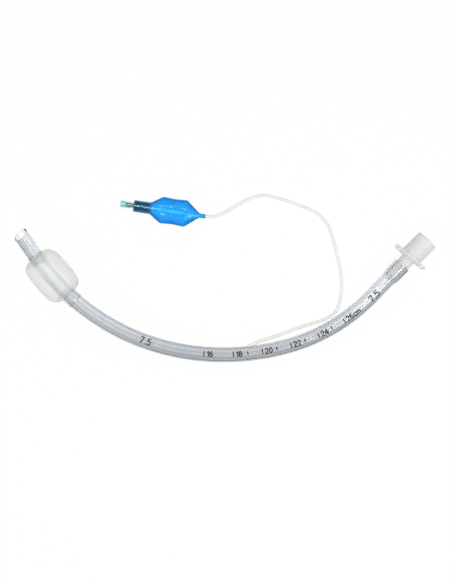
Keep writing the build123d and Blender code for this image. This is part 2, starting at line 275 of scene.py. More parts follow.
def grid_faces(rows, columns, close_rows=False, close_columns=False, first=0):
    """Quads between neighbouring rows and columns of a grid, joined round where it closes."""
    row = np.arange(rows if close_rows else rows - 1)[:, None]
    column = np.arange(columns if close_columns else columns - 1)[None, :]
    next_row = (row + 1) % rows
    next_column = (column + 1) % columns
    corners = [row * columns + column, next_row * columns + column,
               next_row * columns + next_column, row * columns + next_column]
    return np.stack([corner.ravel() for corner in corners], axis=1) + first


def mesh_piece(name, points, faces, uv=None):
    """A mesh object at the origin from vertex and quad arrays, smooth, with a UV pair per vertex if given."""
    points = np.asarray(points, float).reshape(-1, 3)
    mesh = bpy.data.meshes.new(name)
    mesh.vertices.add(len(points))
    mesh.vertices.foreach_set("co", points.ravel())
    mesh.loops.add(faces.size)
    mesh.loops.foreach_set("vertex_index", faces.ravel())
    mesh.polygons.add(len(faces))
    mesh.polygons.foreach_set("loop_start", np.arange(len(faces)) * faces.shape[1])
    mesh.polygons.foreach_set("loop_total", np.full(len(faces), faces.shape[1]))
    mesh.polygons.foreach_set("use_smooth", np.ones(len(faces), bool))
    mesh.update(calc_edges=True)
    if uv is not None:
        layer = mesh.uv_layers.new(name="surface")
        layer.data.foreach_set("uv", uv.reshape(-1, 2)[faces.ravel()].ravel())
    mesh.validate()
    piece = bpy.data.objects.new(name, mesh)
    scene.collection.objects.link(piece)
    return piece


def place_on_airway(piece, node):
    """The piece rides with the airway body and stands for a node if one is named."""
    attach(piece, "airway")
    if node:
        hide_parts(node)
    return piece


def cut(piece, cutter):
    """The piece less the cutter, made a plain mesh again."""
    change = piece.modifiers.new("cut", "BOOLEAN")
    change.operation = "DIFFERENCE"
    change.solver = "EXACT"
    change.object = cutter
    bpy.context.view_layer.update()
    mesh = bpy.data.meshes.new_from_object(piece.evaluated_get(bpy.context.evaluated_depsgraph_get()))
    piece.modifiers.remove(change)
    old = piece.data
    piece.data = mesh
    bpy.data.meshes.remove(old)
    bpy.data.objects.remove(cutter)


def bevel_front(side, up):
    """How far from the tip the bevel's plane cuts, which rises with up and is rolled a little to one side."""
    slope = BEVEL_LENGTH / (2 * OUTSIDE)
    return BEVEL_LENGTH / 2 + slope * (math.cos(BEVEL_ROLL) * up - math.sin(BEVEL_ROLL) * side)


def tube_wall():
    """The tube's whole skin as one closed grid. Around it runs the angle; along it a loop goes from the
    tip's rim down the outside, over the machine end's lip, back up the bore and over the rim again.
    The slanted reach behind the tip is moved back by the bevel times what is left of it. In the map,
    the bore's stations are negative."""
    angle = full_turn(88)
    straight_end = TUBE_LENGTH - LIP_ROUND
    run = np.concatenate([np.linspace(0, 0.06, 64), np.linspace(0.06, FLARE_START, 170)[1:],
                          np.linspace(FLARE_START, straight_end, 26)[1:]])
    wide = FLARE_RISE * smooth((run - FLARE_START) / FLARE_LENGTH)
    middle = BORE + WALL / 2
    lip = np.radians([30, 60, 90, 120, 150])
    lip_radius = middle + FLARE_RISE + WALL / 2 * np.cos(lip)
    rim = np.radians([-150, -120, -90, -60, -30])
    rim_radius = middle + WALL / 2 * np.cos(rim)
    loop_run = np.concatenate([run, straight_end + LIP_ROUND * np.sin(lip), run[::-1], np.zeros(len(rim))])
    eased = SEAT_EASE * smooth((run - SEAT_START) / SEAT_FADE)
    loop_radius = np.concatenate([OUTSIDE + wide, lip_radius, (BORE + wide + eased)[::-1], rim_radius])
    back = np.concatenate([np.full(2 * len(run) + len(lip), RIM_ROUND), RIM_ROUND * (1 + np.sin(rim))])
    side = loop_radius[:, None] * np.cos(angle)
    up = loop_radius[:, None] * np.sin(angle)
    left = np.clip(1 - loop_run / SLANT_REACH, 0, 1)[:, None] ** 1.5
    station = loop_run[:, None] + left * (bevel_front(side, up) + back[:, None])
    outside = np.ones(len(loop_run))
    outside[len(run) + 3:-2] = -1.0
    faces = grid_faces(len(loop_run), len(angle), close_rows=True, close_columns=True)
    piece = mesh_piece("tube_wall", on_tube(station, side, up), faces[:, ::-1],
                       mapped(outside[:, None] * station / TUBE_LENGTH, angle))
    cut(piece, eye_cutter())
    cut(piece, notch_cutter())
    piece.data.set_sharp_from_angle(angle=math.radians(40))
    return place_on_airway(piece, "tube")


def closed_bar(name, rings):
    """A closed bar through rings of points, each end drawn together to the ring's middle, with its
    doubled points merged and its faces turned outwards."""
    first = np.broadcast_to(rings[0].mean(axis=0), rings[0].shape)
    last = np.broadcast_to(rings[-1].mean(axis=0), rings[0].shape)
    points = np.concatenate([first[None], rings, last[None]])
    piece = mesh_piece(name, points, grid_faces(len(points), points.shape[1], close_columns=True))
    work = bmesh.new()
    work.from_mesh(piece.data)
    bmesh.ops.remove_doubles(work, verts=work.verts, dist=1e-8)
    bmesh.ops.recalc_face_normals(work, faces=work.faces)
    work.to_mesh(piece.data)
    work.free()
    return piece


def eye_cutter():
    """The side eye's cutter: a stadium outline, a circle of the eye's width whose halves are moved
    apart by a soft step, tanh(6 cos), carried down through the wall that faces the table."""
    turn = full_turn(64)
    half = (EYE_LENGTH - EYE_WIDTH) / 2
    along = EYE_WIDTH / 2 * np.cos(turn) + half * np.tanh(6 * np.cos(turn))
    broad = EYE_WIDTH / 2 * np.sin(turn)
    deep = np.linspace(0.0, 2 * OUTSIDE, 3)[:, None]
    side = deep * math.sin(BEVEL_ROLL) + broad * math.cos(BEVEL_ROLL)
    up = -deep * math.cos(BEVEL_ROLL) + broad * math.sin(BEVEL_ROLL)
    station = EYE_STATION + along + 0 * deep
    return closed_bar("eye_cutter", on_tube(station, side, up))


def notch_cutter():
    """The pilot line's seat: a round bar of the line's size that leaves the wall at the port's angle."""
    turn = full_turn(32)
    far = np.array([0.0, 0.004, 0.009, 0.016])[:, None]
    seat = LUMEN_SIDE - LUMEN_RADIUS - PORT_DEPTH + LINE_RADIUS * math.cos(PORT_ANGLE)
    radius = LINE_RADIUS * PORT_SLACK
    along = far * math.cos(PORT_ANGLE) - radius * np.cos(turn) * math.sin(PORT_ANGLE)
    side = seat + far * math.sin(PORT_ANGLE) + radius * np.cos(turn) * math.cos(PORT_ANGLE)
    x, y, heading = centreline(np.array(PORT_STATION))
    flat_x = x + along * np.cos(heading) - side * np.sin(heading)
    flat_y = y + along * np.sin(heading) + side * np.cos(heading)
    up = radius * np.sin(turn) + 0 * far
    rings = BED_SPOT + flat_x[..., None] * BED_X + flat_y[..., None] * BED_Y + up[..., None] * BED_Z
    return closed_bar("notch_cutter", rings)


def inflation_lumen():
    """The air channel in the wall: the inside of a fine round bore along the tube from the cuff to the
    port, its faces turned to the air in it."""
    angle = full_turn(16)
    run = np.linspace(LUMEN_START, LUMEN_END, 130)[:, None]
    side = LUMEN_SIDE + LUMEN_RADIUS * np.cos(angle)
    up = LUMEN_RADIUS * np.sin(angle)
    piece = closed_bar("inflation_lumen", on_tube(run + 0 * angle, side + 0 * run, up + 0 * run))
    piece.data.flip_normals()
    return place_on_airway(piece, None)


def cuff_profile(inset):
    """The cuff's half outline as (along, radius) from collar to collar: a steep soft rise at each end
    over the shoulder's inset, then a barrel bowed by the square of the distance from its middle."""
    half = CUFF_LENGTH / 2 - inset
    place = half * np.sin(np.linspace(-1, 1, 91) * math.pi / 2)
    neck = OUTSIDE + COLLAR_WALL - COLLAR_OVERLAP
    past = np.clip((np.abs(place) - half + SHOULDER_INSET) / SHOULDER_INSET, 0, 1)
    rise = np.sqrt(np.clip(1 - past ** SHOULDER_POWER, 0, 1))
    bow = 1 - (place / (half - SHOULDER_INSET / 2)) ** 2
    barrel = np.maximum(SHOULDER_RADIUS + (CUFF_RADIUS - SHOULDER_RADIUS) * bow, SHOULDER_RADIUS * 0.98)
    return place, neck + (barrel - inset - neck) * rise


def cuff_barrel():
    """The cuff's barrel of thin film, turned round the straight line from collar to collar, with faint
    lengthwise gathers near its ends."""
    ends = on_tube(np.array([CUFF_START, CUFF_START + CUFF_LENGTH]), np.zeros(2), np.zeros(2))
    middle = ends.mean(axis=0)
    along = (ends[1] - ends[0]) / np.linalg.norm(ends[1] - ends[0])
    across = np.cross(BED_Z, along)
    above = np.cross(along, across)
    turn = full_turn(144)
    place, radius = cuff_profile(0.0)
    inner_place, inner_radius = cuff_profile(FILM)
    places = np.concatenate([place, inner_place[::-1]])[:, None]
    radii = np.concatenate([radius, inner_radius[::-1]])[:, None]
    end_share = np.abs(places) / (CUFF_LENGTH / 2)
    creases = np.cos(11 * turn + 0.8 * np.sin(3 * turn)) + 0.6 * np.cos(17 * turn + 1.3)
    near_end = smooth((end_share - 0.45) / 0.4) * smooth((1.0 - end_share) / 0.1)
    radii = radii - GATHER_DEPTH * creases * near_end
    points = (middle + places[..., None] * along + (radii * np.cos(turn))[..., None] * across
              + (radii * np.sin(turn))[..., None] * above)
    faces = grid_faces(len(radii), len(turn), close_rows=True, close_columns=True)
    piece = mesh_piece("cuff_film", points, faces[:, ::-1], mapped(places / CUFF_LENGTH + 0.5, turn))
    return place_on_airway(piece, "cuff")


def cuff_collars():
    """The cuff's two collars, welded round the tube: each a thin sleeve with eased ends, whose wall
    follows 1 - x^12 along it. The tip's collar is turned inside the barrel."""
    angle = full_turn(72)
    soft = np.linspace(0, 1, 14)
    thick = COLLAR_WALL * (1 - (2 * soft - 1) ** 12) + 0.00001
    size = OUTSIDE + 0.00003 + np.concatenate([thick, np.zeros(14)])[:, None]
    stations = [start - 0.001 + (COLLAR_LENGTH + 0.001) * np.concatenate([soft, soft[::-1]])[:, None]
                for start in (CUFF_START, CUFF_START + CUFF_LENGTH)]
    points = np.concatenate([on_tube(run + 0 * angle, size * np.cos(angle), size * np.sin(angle))
                             for run in stations])
    faces = np.concatenate([grid_faces(28, len(angle), close_rows=True, close_columns=True, first=first)
                            for first in (0, 28 * len(angle))])
    piece = mesh_piece("cuff_collars", points, faces[:, ::-1],
                       mapped(np.concatenate(stations) / CUFF_LENGTH, angle))
    return place_on_airway(piece, None)


def balloon_rows(along):
    """Half width, half thickness, fullness and puff along the balloon: a round sleeve, straight
    shoulders to two corners with a slight waist between them, and a straight taper to the round neck,
    each corner softened over half a millimetre. Fullness is 0.5 for an ellipse and more for a lens,
    and puff is 1 where the film stands free of sleeve and neck."""
    at = along[None, :] + np.linspace(-0.0005, 0.0005, 7)[:, None]
    places, widths, heights = BALLOON_OUTLINE.T
    width = np.interp(at, places, widths).mean(axis=0)
    height = np.interp(at, places, heights).mean(axis=0)
    puff = smooth((along - SLEEVE_LENGTH) / 0.006) * smooth((NECK_START - along) / 0.006)
    return width, height, 0.5 + 0.28 * puff, puff


def crease(along, across, start, stop, rise, breadth):
    """A raised fold along a straight stretch: rise times a bell curve of the distance from it."""
    start = np.array(start)
    way = np.array(stop) - start
    share = ((along - start[0]) * way[0] + (across - start[1]) * way[1]) / (way ** 2).sum()
    held = np.clip(share, 0, 1)
    apart = np.hypot(along - start[0] - held * way[0], across - start[1] - held * way[1])
    return rise * np.exp(-(apart / breadth) ** 2) * np.sin(np.pi * (0.08 + 0.84 * held))


def pilot_balloon():
    """The pilot balloon with its sleeve and neck as one closed skin. Each cross-section is
    up = height (1 - (across / width)^2)^fullness, creased along both sides. Folds run from the
    sleeve and the neck into the body, and an inner skin makes the wall."""
    turn = full_turn(120)
    along = np.concatenate([np.linspace(0, BODY_START, 12), np.linspace(BODY_START, BODY_STOP, 110)[1:],
                            np.linspace(BODY_STOP, BALLOON_LENGTH, 8)[1:]])
    width, height, fullness, puff = balloon_rows(along)
    lean = np.cos(turn)[None, :]
    share = np.clip(1 - lean ** 2, 0, 1) ** fullness[:, None]
    sign = np.sign(np.sin(turn))[None, :]
    across = width[:, None] * lean
    place = along[:, None] + 0 * lean
    relief = 0.0
    for start, stop, rise, breadth in BALLOON_FOLDS:
        relief = relief + crease(place, across, start, stop, rise, breadth)
    for middle, breadth in BALLOON_HOLLOWS:
        relief = relief - HOLLOW_DEPTH * np.exp(-((across - middle) / breadth) ** 2)
    up = sign * (height[:, None] * share + puff[:, None] * relief * (1 - lean ** 2))
    up = np.maximum(up, -BALLOON_SPOT[2])
    in_sleeve = along < SLEEVE_SEAT
    held = np.where(in_sleeve, VALVE_HOLE, LINE_HOLE)
    closed = in_sleeve | (along > NECK_SEAT)
    in_width = np.where(closed, held, np.maximum(width - FILM_WALL, LINE_HOLE))
    in_height = np.where(closed, held, np.maximum(height - FILM_WALL, LINE_HOLE))
    loop_along = np.concatenate([place, place[::-1]])
    loop_across = np.concatenate([across, (in_width[:, None] * lean)[::-1]])
    loop_up = np.concatenate([up, (sign * in_height[:, None] * share)[::-1]])
    faces = grid_faces(2 * len(along), len(turn), close_rows=True, close_columns=True)
    piece = mesh_piece("balloon_film", on_balloon(loop_along, loop_across, loop_up), faces[:, ::-1],
                       mapped(loop_along / BALLOON_LENGTH, turn))
    piece.data.set_sharp_from_angle(angle=math.radians(50))
    return place_on_airway(piece, "pilot_balloon")


def valve_housing():
    """The valve's housing as a closed outline turned round the balloon's axis: (along, radius) points
    for the syringe socket, the stem's guide and the spring chamber, outside and inside."""
    outline = np.array([
        (-VALVE_REACH, 0.00235),
        (-VALVE_REACH, 0.00290),
        (-0.0090, HUB_RADIUS),
        (-0.0055, HUB_RADIUS),
        (-0.0053, 0.00300),
        (WAIST_START, WAIST_RADIUS),
        (0.0, WAIST_RADIUS),
        (0.0, VALVE_BODY_RADIUS),
        (VALVE_BODY_LENGTH, VALVE_BODY_RADIUS),
        (VALVE_BODY_LENGTH, CHAMBER_RADIUS),
        (SEAT_PLACE, CHAMBER_RADIUS),
        (SEAT_PLACE, GUIDE_RADIUS),
        (SOCKET_END, GUIDE_RADIUS),
        (SOCKET_END, 0.0019246),
    ])
    turn = full_turn(64)
    along = outline[:, :1] + 0 * turn
    points = on_balloon(along, outline[:, 1:] * np.cos(turn), outline[:, 1:] * np.sin(turn))
    faces = grid_faces(len(outline), len(turn), close_rows=True, close_columns=True)
    piece = mesh_piece("valve_shell", points, faces)
    piece.data.set_sharp_from_angle(angle=math.radians(30))
    return place_on_airway(piece, "valve_housing")


def valve_coil():
    """The valve's spring: a wire circle carried round the balloon's axis, its centre a helix with
    along rising evenly with the turn, and the circle held square to the helix."""
    turn = np.linspace(0, 2 * math.pi * COIL_TURNS, 32 * COIL_TURNS + 1)[:, None]
    round_wire = full_turn(12)
    rise = (COIL_STOP - COIL_START - 2 * WIRE_RADIUS) / turn[-1, 0]
    lean = math.atan2(rise, COIL_RADIUS)
    outwards = COIL_RADIUS + WIRE_RADIUS * np.cos(round_wire)
    aside = WIRE_RADIUS * np.sin(round_wire)
    along = COIL_START + WIRE_RADIUS + rise * turn + aside * math.cos(lean)
    across = outwards * np.cos(turn) + aside * math.sin(lean) * np.sin(turn)
    up = outwards * np.sin(turn) - aside * math.sin(lean) * np.cos(turn)
    coil = closed_bar("valve_coil", on_balloon(along, across, up))
    place_on_airway(coil, "valve_spring")
    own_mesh(coil)
    return coil


def pilot_line():
    """The pilot line as a round tube along one smooth NURBS line through the route's corners."""
    curve = bpy.data.curves.new("pilot_line_tube", "CURVE")
    curve.dimensions = "3D"
    curve.bevel_depth = 1.0
    curve.bevel_resolution = 6
    curve.use_fill_caps = True
    curve.resolution_u = 12
    curve.render_resolution_u = 12
    spline = curve.splines.new("NURBS")
    spline.points.add(len(LINE_ROUTE) - 1)
    points = np.ones((len(LINE_ROUTE), 4))
    points[:, :3] = LINE_ROUTE
    spline.points.foreach_set("co", points.ravel())
    spline.points.foreach_set("radius", np.full(len(points), LINE_RADIUS))
    spline.order_u = 3
    spline.use_endpoint_u = True
    piece = bpy.data.objects.new("pilot_line_tube", curve)
    scene.collection.objects.link(piece)
    place_on_airway(piece, "pilot_line")
    return piece


def arc(middle_x, middle_y, half_width, half_height, start, stop, count=14):
    """Points of an ellipse from one angle to another, in degrees."""
    turn = np.radians(np.linspace(start, stop, count))
    return np.stack([middle_x + half_width * np.cos(turn), middle_y + half_height * np.sin(turn)], axis=1)


def pen(*points):
    """A pen stroke through points, with seven more between each two, so that it can lie round the tube."""
    points = np.array(points, float)
    places = np.arange(8 * (len(points) - 1) + 1) / 8
    return np.stack([np.interp(places, np.arange(len(points)), points[:, axis]) for axis in (0, 1)], axis=1)


def glyph(sign):
    """The pen strokes of a figure or letter, in a box one high, and the box's width."""
    strokes = {
        "0": [arc(0.30, 0.5, 0.24, 0.44, 0, 360, 26)],
        "1": [pen((0.10, 0.76), (0.32, 0.94), (0.32, 0.06))],
        "2": [np.concatenate([arc(0.30, 0.70, 0.24, 0.24, 165, -28), pen((0.07, 0.06), (0.56, 0.06))])],
        "4": [pen((0.44, 0.06), (0.44, 0.94), (0.05, 0.32), (0.60, 0.32))],
        "5": [np.concatenate([pen((0.52, 0.94), (0.14, 0.94), (0.10, 0.54)),
                              arc(0.29, 0.34, 0.25, 0.28, 118, -148)])],
        "6": [np.concatenate([arc(0.36, 0.56, 0.28, 0.38, 70, 180),
                              arc(0.30, 0.32, 0.22, 0.26, 180, 540, 22)])],
        "7": [pen((0.06, 0.94), (0.55, 0.94), (0.22, 0.06))],
        "8": [arc(0.30, 0.72, 0.20, 0.22, 0, 360, 22), arc(0.30, 0.29, 0.25, 0.23, 0, 360, 22)],
        "c": [arc(0.30, 0.33, 0.23, 0.27, 50, 310, 20)],
        "m": [pen((0.06, 0.06), (0.06, 0.62)),
              np.concatenate([arc(0.23, 0.42, 0.17, 0.18, 180, 0), [(0.40, 0.06)]]),
              np.concatenate([arc(0.57, 0.42, 0.17, 0.18, 180, 0), [(0.74, 0.06)]])],
        ".": [pen((0.12, 0.06), (0.22, 0.06))],
        "|": [pen((0.0, 0.0), (0.0, 1.0))],
    }
    widths = {"1": 0.50, "c": 0.58, "m": 0.86, ".": 0.34, "|": 0.2}
    return strokes[sign], widths.get(sign, 0.72)


def ribbon(stroke, breadth):
    """A flat band along a stroke: each point is moved half the breadth to both sides of the mean
    direction of its neighbours, and both ends run on by a third of the breadth."""
    stroke = np.array(stroke, float)
    is_open = np.linalg.norm(stroke[0] - stroke[-1]) > 1e-6
    if is_open:
        begin = stroke[0] - stroke[1]
        end = stroke[-1] - stroke[-2]
        stroke[0] += begin / np.linalg.norm(begin) * breadth / 3
        stroke[-1] += end / np.linalg.norm(end) * breadth / 3
    steps = np.diff(stroke, axis=0)
    steps = steps / np.linalg.norm(steps, axis=1)[:, None]
    before = np.concatenate([steps[:1] if is_open else steps[-1:], steps])
    after = np.concatenate([steps, steps[-1:] if is_open else steps[:1]])
    mean = before + after
    mean = mean / np.maximum(np.linalg.norm(mean, axis=1), 0.2)[:, None]
    reach = breadth / 2 / np.clip((mean * after).sum(axis=1), 0.55, 1)
    normal = np.stack([-mean[:, 1], mean[:, 0]], axis=1) * reach[:, None]
    return np.stack([stroke + normal, stroke - normal], axis=1)


def print_line(station):
    """How far the print's middle lies to the side: it wanders from the inside of the curve outwards."""
    stations = [0.110, 0.160, 0.200, 0.262, 0.290]
    return np.interp(station, stations, [0.0012, 0.0010, 0.0009, 0.0, -0.0004])


def printed_signs():
    """What is printed, where it starts along the tube, how tall it is and how far it is lifted: a long
    tick and its number at each second centimetre, a short tick between them, the unit and the size."""
    signs = []
    for number in (16, 18, 20, 22, 24, 26):
        tick = number * 0.010 - TICK_SHIFT
        signs.append(("|", tick, LONG_TICK, 0.0))
        signs.append((str(number), tick + 0.0018, FIGURE_HEIGHT, 0.0))
    for number in (19, 21, 23, 25):
        signs.append(("|", number * 0.010 - TICK_SHIFT, SHORT_TICK, 0.0003))
    signs.append(("cm", 0.2643, FIGURE_HEIGHT, 0.0))
    for start in (0.1120, 0.2790):
        signs.append(("7.5", start, SIZE_HEIGHT, 0.0))
    return signs


def print_marks():
    """The printed scale: plain figures and tick marks as bands of ink on the tube's upper side. A mark's
    place across the tube becomes an angle, side / radius, and its place along it a station."""
    points = []
    faces = []
    count = 0
    radius = OUTSIDE + INK_LIFT
    for text, start, tall, lift in printed_signs():
        middle = print_line(start)
        at = start
        for sign in text:
            strokes, width = glyph(sign)
            for stroke in strokes:
                band = ribbon(stroke * tall, INK_BREADTH)
                offset = middle + lift + band[..., 1] - tall / 2
                angle = math.pi / 2 - offset / OUTSIDE
                spots = on_tube(at + band[..., 0], radius * np.cos(angle), radius * np.sin(angle))
                points.append(spots.reshape(-1, 3))
                faces.append(grid_faces(len(band), 2, first=count))
                count += 2 * len(band)
            at += width * tall
    piece = mesh_piece("printed_scale", np.concatenate(points), np.concatenate(faces)[:, ::-1])
    skin = piece.modifiers.new("ink", "SOLIDIFY")
    skin.thickness = INK_LIFT
    skin.offset = -1
    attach(piece, "airway")
    return piece


def add(tree, kind, links=None, **values):
    """A node of a kind, its inputs linked or set by name or place."""
    node = tree.nodes.new(kind)
    for key, value in values.items():
        setattr(node, key, value)
    for key, source in (links or {}).items():
        if isinstance(source, bpy.types.NodeSocket):
            tree.links.new(source, node.inputs[key])
        else:
            node.inputs[key].default_value = source
    return node


def new_group(name, inputs, outputs):
    """A node group with number inputs after its vector, each with its own default, and number outputs."""
    group = bpy.data.node_groups.new(name, "ShaderNodeTree")
    group.interface.new_socket(name="Vector", in_out="INPUT", socket_type="NodeSocketVector")
    for label, default in inputs.items():
        socket = group.interface.new_socket(name=label, in_out="INPUT", socket_type="NodeSocketFloat")
        socket.default_value = default
    for label in outputs:
        group.interface.new_socket(name=label, in_out="OUTPUT", socket_type="NodeSocketFloat")
    return group


def drawn_grain_group():
    """Fine lengthwise draw lines and soft cloudiness: two noises of the given vector, the first
    stretched along it, mixed into a mask and a height."""
    group = new_group("drawn_grain", {"Along": 4.0, "Across": 60.0, "Cloud": 12.0}, ("Mask", "Height"))
    entry = add(group, "NodeGroupInput").outputs
    parts = add(group, "ShaderNodeSeparateXYZ", {0: entry["Vector"]}).outputs
    pull = add(group, "ShaderNodeMath", {0: parts["X"], 1: entry["Along"]}, operation="MULTIPLY")
    press = add(group, "ShaderNodeMath", {0: parts["Y"], 1: entry["Across"]}, operation="MULTIPLY")
    drawn = add(group, "ShaderNodeCombineXYZ", {"X": pull.outputs[0], "Y": press.outputs[0], "Z": parts["Z"]})
    lines = add(group, "ShaderNodeTexNoise", {"Vector": drawn.outputs[0], "Scale": 1.0, "Detail": 3.0})
    clouds = add(group, "ShaderNodeTexNoise", {"Vector": entry["Vector"], "Scale": entry["Cloud"],
                                               "Detail": 4.0})
    blend = add(group, "ShaderNodeMath", {0: lines.outputs["Fac"], 1: clouds.outputs["Fac"]},
                operation="MULTIPLY")
    add(group, "NodeGroupOutput", {"Mask": blend.outputs[0], "Height": lines.outputs["Fac"]})
    return group


def handling_group():
    """Traces of handling: a coarse noise for smudges and fine scattered specks, both as masks."""
    group = new_group("handling_marks", {"Smudge Scale": 80.0, "Speck Scale": 900.0}, ("Smudge", "Speck"))
    entry = add(group, "NodeGroupInput").outputs
    coarse = add(group, "ShaderNodeTexNoise", {"Vector": entry["Vector"], "Scale": entry["Smudge Scale"],
                                               "Detail": 5.0, "Distortion": 0.6})
    spots = add(group, "ShaderNodeTexVoronoi", {"Vector": entry["Vector"], "Scale": entry["Speck Scale"]})
    shape = add(group, "ShaderNodeMapRange", {"Value": spots.outputs["Distance"], "From Min": 0.30,
                                              "From Max": 0.05})
    add(group, "NodeGroupOutput", {"Smudge": coarse.outputs["Fac"], "Speck": shape.outputs[0]})
    return group


DRAWN_GRAIN = drawn_grain_group()
HANDLING = handling_group()


def finish_of(name, color, **settings):
    """A material with its Principled shader set directly."""
    material = bpy.data.materials.new(name)
    material.use_nodes = True
    tree = material.node_tree
    shader = tree.nodes["Principled BSDF"]
    shader.inputs["Base Color"].default_value = (*color, 1)
    for key, value in settings.items():
        shader.inputs[key.replace("_", " ")].default_value = value
    return material, tree, shader


def drawn_grain(tree, vector, along, across, cloud):
    """The outputs of the draw lines' group, placed on a vector."""
    links = {"Vector": vector, "Along": along, "Across": across, "Cloud": cloud}
    return add(tree, "ShaderNodeGroup", links, node_tree=DRAWN_GRAIN).outputs


def handling(tree, smudges, specks):
    """The outputs of the handling marks' group on the piece's own coordinates, at two scales."""
    place = add(tree, "ShaderNodeTexCoord").outputs["Object"]
    links = {"Vector": place, "Smudge Scale": smudges, "Speck Scale": specks}
    return add(tree, "ShaderNodeGroup", links, node_tree=HANDLING).outputs


def surface_map(tree):
    """The piece's own map as a vector, and its places along and around the piece."""
    surface = add(tree, "ShaderNodeUVMap", uv_map="surface").outputs[0]
    parts = add(tree, "ShaderNodeSeparateXYZ", {0: surface}).outputs
    return surface, parts["X"], parts["Y"]


def turned_away(tree, start, stop):
    """A mask that rises from start to stop as the surface turns away from the eye."""
    facing = add(tree, "ShaderNodeLayerWeight", {"Blend": 0.5}).outputs["Facing"]
    return add(tree, "ShaderNodeMapRange", {"Value": facing, "From Min": start, "From Max": stop}).outputs[0]


def between(tree, mask, low, high):
    """A number that runs from low to high with a mask."""
    return add(tree, "ShaderNodeMapRange", {"Value": mask, "To Min": low, "To Max": high}).outputs[0]


def banded(tree, mask, *stops):
    """A colour that runs through (place, colour) stops with a mask."""
    node = add(tree, "ShaderNodeValToRGB", {0: mask})
    bands = node.color_ramp.elements
    bands[0].position, bands[0].color = stops[0][0], (*stops[0][1], 1)
    bands[1].position, bands[1].color = stops[-1][0], (*stops[-1][1], 1)
    for place, color in stops[1:-1]:
        bands.new(place).color = (*color, 1)
    return node.outputs["Color"]


def tinted(tree, mask, first, second):
    """A colour that runs from one to another with a mask."""
    colors = {place: color if isinstance(color, bpy.types.NodeSocket) else (*color, 1)
              for place, color in ((6, first), (7, second))}
    return add(tree, "ShaderNodeMix", {0: mask, **colors}, data_type="RGBA").outputs[2]


def paint(tree, shader, color, roughness):
    """The shader takes its colour and its roughness from these outputs."""
    tree.links.new(color, shader.inputs["Base Color"])
    tree.links.new(roughness, shader.inputs["Roughness"])


def emboss(tree, shader, height, strength, depth=0.0001):
    """The surface is raised by a height."""
    bump = add(tree, "ShaderNodeBump", {"Height": height, "Strength": strength, "Distance": depth})
    tree.links.new(bump.outputs[0], shader.inputs["Normal"])


def let_light_through(tree, shader, held):
    """Shadow rays pass the clear piece, apart from the share that it holds back."""
    shadow = add(tree, "ShaderNodeLightPath").outputs["Is Shadow Ray"]
    tree.links.new(between(tree, shadow, 1.0, held), shader.inputs["Alpha"])


def smoke(level, cool=0.06):
    """A cool grey of a level."""
    return level * (1 - cool), level, level * (1 + cool)


def clear_pvc():
    """Clear tube plastic: glassy, a cool smoky grey, with painted light and shade in lengthwise bands
    round its outside: painted dark outlines along its sides, deepest along the outside of the curve,
    and painted paler and darker lines over its top for the light that its wall refracts. Its tone is
    a little deeper along the middle of its length. The bore's skin is plain and clear."""
    material, tree, shader = finish_of("clear_pvc", smoke(0.80), IOR=1.30, Transmission_Weight=1.0,
                                       Coat_Weight=1.0, Coat_Roughness=0.20)
    surface, along, around = surface_map(tree)
    grain = drawn_grain(tree, surface, 3.0, 60.0, 30.0)
    # Painted light and shade: dark outlines along both sides, darkest along the outside of the curve, and
    # paler and darker lines over the top for refracted light
    drawn = banded(tree, around, (0.0, smoke(0.22)), (0.020, smoke(0.32)), (0.038, smoke(0.90)),
                   (0.078, smoke(0.86)), (0.116, smoke(0.92)), (0.146, smoke(1.0)), (0.172, smoke(0.95)),
                   (0.190, smoke(0.45)), (0.215, smoke(0.42)), (0.238, smoke(0.56)), (0.259, smoke(0.60)),
                   (0.281, smoke(0.45)), (0.301, smoke(0.36)), (0.325, smoke(0.46)), (0.350, smoke(0.78)),
                   (0.379, smoke(1.0)), (0.402, smoke(0.90)), (0.420, smoke(0.14, 0.10)),
                   (0.460, smoke(0.02, 0.14)), (0.500, smoke(0.03, 0.14)), (0.512, smoke(0.90)),
                   (0.540, smoke(1.0)), (0.975, smoke(1.0)), (1.0, smoke(0.22)))
    length = banded(tree, along, (0.0, smoke(0.86, 0)), (0.15, smoke(0.86, 0)), (0.46, smoke(0.64, 0)),
                    (0.80, smoke(0.64, 0)), (0.92, smoke(0.80, 0)), (1.0, smoke(0.80, 0)))
    shade = add(tree, "ShaderNodeMix", {0: 1.0, 6: drawn, 7: length}, data_type="RGBA", blend_type="MULTIPLY")
    cloud = between(tree, grain["Mask"], 0.0, 0.15)
    skin = tinted(tree, cloud, shade.outputs[2], smoke(0.55))
    bored = add(tree, "ShaderNodeMath", {0: along, 1: 0.0}, operation="LESS_THAN").outputs[0]
    bore = tinted(tree, cloud, (1.0, 1.0, 1.0), (0.92, 0.92, 0.93))
    paint(tree, shader, tinted(tree, bored, skin, bore), between(tree, grain["Mask"], 0.07, 0.12))
    emboss(tree, shader, grain["Height"], 0.01)
    let_light_through(tree, shader, 0.06)
    return material


def collar_film():
    """The collars' film: welded smooth on the tube, nearly clear, with faint gathers and smudges, and painted
    shade that darkens it where its surface turns away from the eye.
    """
    material, tree, shader = finish_of("collar_film", (0.96, 0.965, 0.97), IOR=1.20, Transmission_Weight=1.0)
    grain = drawn_grain(tree, surface_map(tree)[0], 3.0, 40.0, 9.0)
    marks = handling(tree, 200.0, 1500.0)
    body = tinted(tree, grain["Mask"], (0.98, 0.985, 0.99), (0.92, 0.925, 0.94))
    # Painted shade: the film darkens where its surface turns away from the eye
    color = tinted(tree, turned_away(tree, 0.55, 0.90), body, (0.50, 0.52, 0.58))
    paint(tree, shader, color, between(tree, marks["Smudge"], 0.05, 0.16))
    emboss(tree, shader, grain["Height"], 0.08)
    let_light_through(tree, shader, 0.05)
    return material


